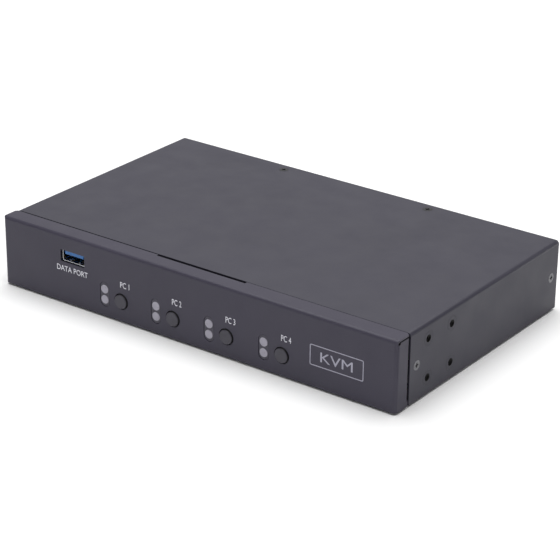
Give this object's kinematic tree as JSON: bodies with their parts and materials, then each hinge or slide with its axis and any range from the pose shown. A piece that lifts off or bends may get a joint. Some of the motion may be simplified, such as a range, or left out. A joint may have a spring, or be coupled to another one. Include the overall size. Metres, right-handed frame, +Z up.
{
  "type": "kvm switch",
  "caption": "Low desktop KVM switch in a folded steel case: front selector buttons with paired lights, a front USB socket, threaded side holes and rear sockets.",
  "frame": {"origin": "centre of the overall box at the surface the feet stand on", "axes": "+X to the right as seen from the front, +Y from the front panel to the rear, +Z up"},
  "size_m": [0.22, 0.1346, 0.0345],
  "materials": {
    "cover_paint": "fine satin powder coat, charcoal",
    "panel_paint": "fine satin powder coat, charcoal",
    "zinc_steel": "zinc plated sheet",
    "foot_rubber": "matt black rubber",
    "black_screw": "black screw",
    "plated_screw": "zinc plated screw",
    "nut_steel": "clinch nut under the coat",
    "brass": "turned brass",
    "socket_metal": "nickel plated shell",
    "blue_plastic": "blue connector tongue",
    "circuit_board": "green solder mask",
    "black_plastic": "moulded black plastic",
    "chip_epoxy": "moulded epoxy",
    "sink_aluminium": "extruded fins",
    "green_plastic": "jack body",
    "pin_metal": "nickel plated pin",
    "button_plastic": "fine texture, charcoal",
    "switch_plastic": "moulded switch body",
    "light_block_plastic": "black light block",
    "light_lens": "white diffused lens"
  },
  "bodies": {
    "case": {"top_cover": "cover_paint", "front_panel": "panel_paint", "chassis": "zinc_steel", "rubber_feet": "foot_rubber", "top_screws": "black_screw", "side_screws": "plated_screw", "clinch_nuts": "nut_steel", "board_standoffs": "brass", "board_screws": "plated_screw", "front_usb_shell": "socket_metal", "front_usb_tongue": "blue_plastic", "usb_board": "circuit_board", "usb_board_spacers": "brass", "link_header": "black_plastic", "main_board": "circuit_board", "board_chips": "chip_epoxy", "heat_sink": "sink_aluminium", "console_video_shell": "socket_metal", "console_video_tongue": "black_plastic", "console_usb_shell": "socket_metal", "console_usb_tongues": "blue_plastic", "audio_jack": "green_plastic", "dc_jack": "black_plastic", "dc_pin": "pin_metal", "tact_switch_1": "switch_plastic", "light_block_1": "light_block_plastic", "light_pair_1": "light_lens", "pc_video_shell_1": "socket_metal", "pc_video_tongue_1": "black_plastic", "pc_usb_shell_1": "socket_metal", "pc_usb_core_1": "black_plastic", "tact_switch_2": "switch_plastic", "light_block_2": "light_block_plastic", "light_pair_2": "light_lens", "pc_video_shell_2": "socket_metal", "pc_video_tongue_2": "black_plastic", "pc_usb_shell_2": "socket_metal", "pc_usb_core_2": "black_plastic", "tact_switch_3": "switch_plastic", "light_block_3": "light_block_plastic", "light_pair_3": "light_lens", "pc_video_shell_3": "socket_metal", "pc_video_tongue_3": "black_plastic", "pc_usb_shell_3": "socket_metal", "pc_usb_core_3": "black_plastic", "tact_switch_4": "switch_plastic", "light_block_4": "light_block_plastic", "light_pair_4": "light_lens", "pc_video_shell_4": "socket_metal", "pc_video_tongue_4": "black_plastic", "pc_usb_shell_4": "socket_metal", "pc_usb_core_4": "black_plastic"},
    "button_1": {"button_cap_1": "button_plastic", "switch_plunger_1": "black_plastic"},
    "button_2": {"button_cap_2": "button_plastic", "switch_plunger_2": "black_plastic"},
    "button_3": {"button_cap_3": "button_plastic", "switch_plunger_3": "black_plastic"},
    "button_4": {"button_cap_4": "button_plastic", "switch_plunger_4": "black_plastic"}
  },
  "joints": [
    {"name": "button_1_press", "type": "slide", "parent": "case", "child": "button_1", "axis": [0, 1, 0], "range_m": [0, 0.0003], "stiffness_N_per_m": 2000, "springref_m": -0.0004},
    {"name": "button_2_press", "type": "slide", "parent": "case", "child": "button_2", "axis": [0, 1, 0], "range_m": [0, 0.0003], "stiffness_N_per_m": 2000, "springref_m": -0.0004},
    {"name": "button_3_press", "type": "slide", "parent": "case", "child": "button_3", "axis": [0, 1, 0], "range_m": [0, 0.0003], "stiffness_N_per_m": 2000, "springref_m": -0.0004},
    {"name": "button_4_press", "type": "slide", "parent": "case", "child": "button_4", "axis": [0, 1, 0], "range_m": [0, 0.0003], "stiffness_N_per_m": 2000, "springref_m": -0.0004}
  ]
}
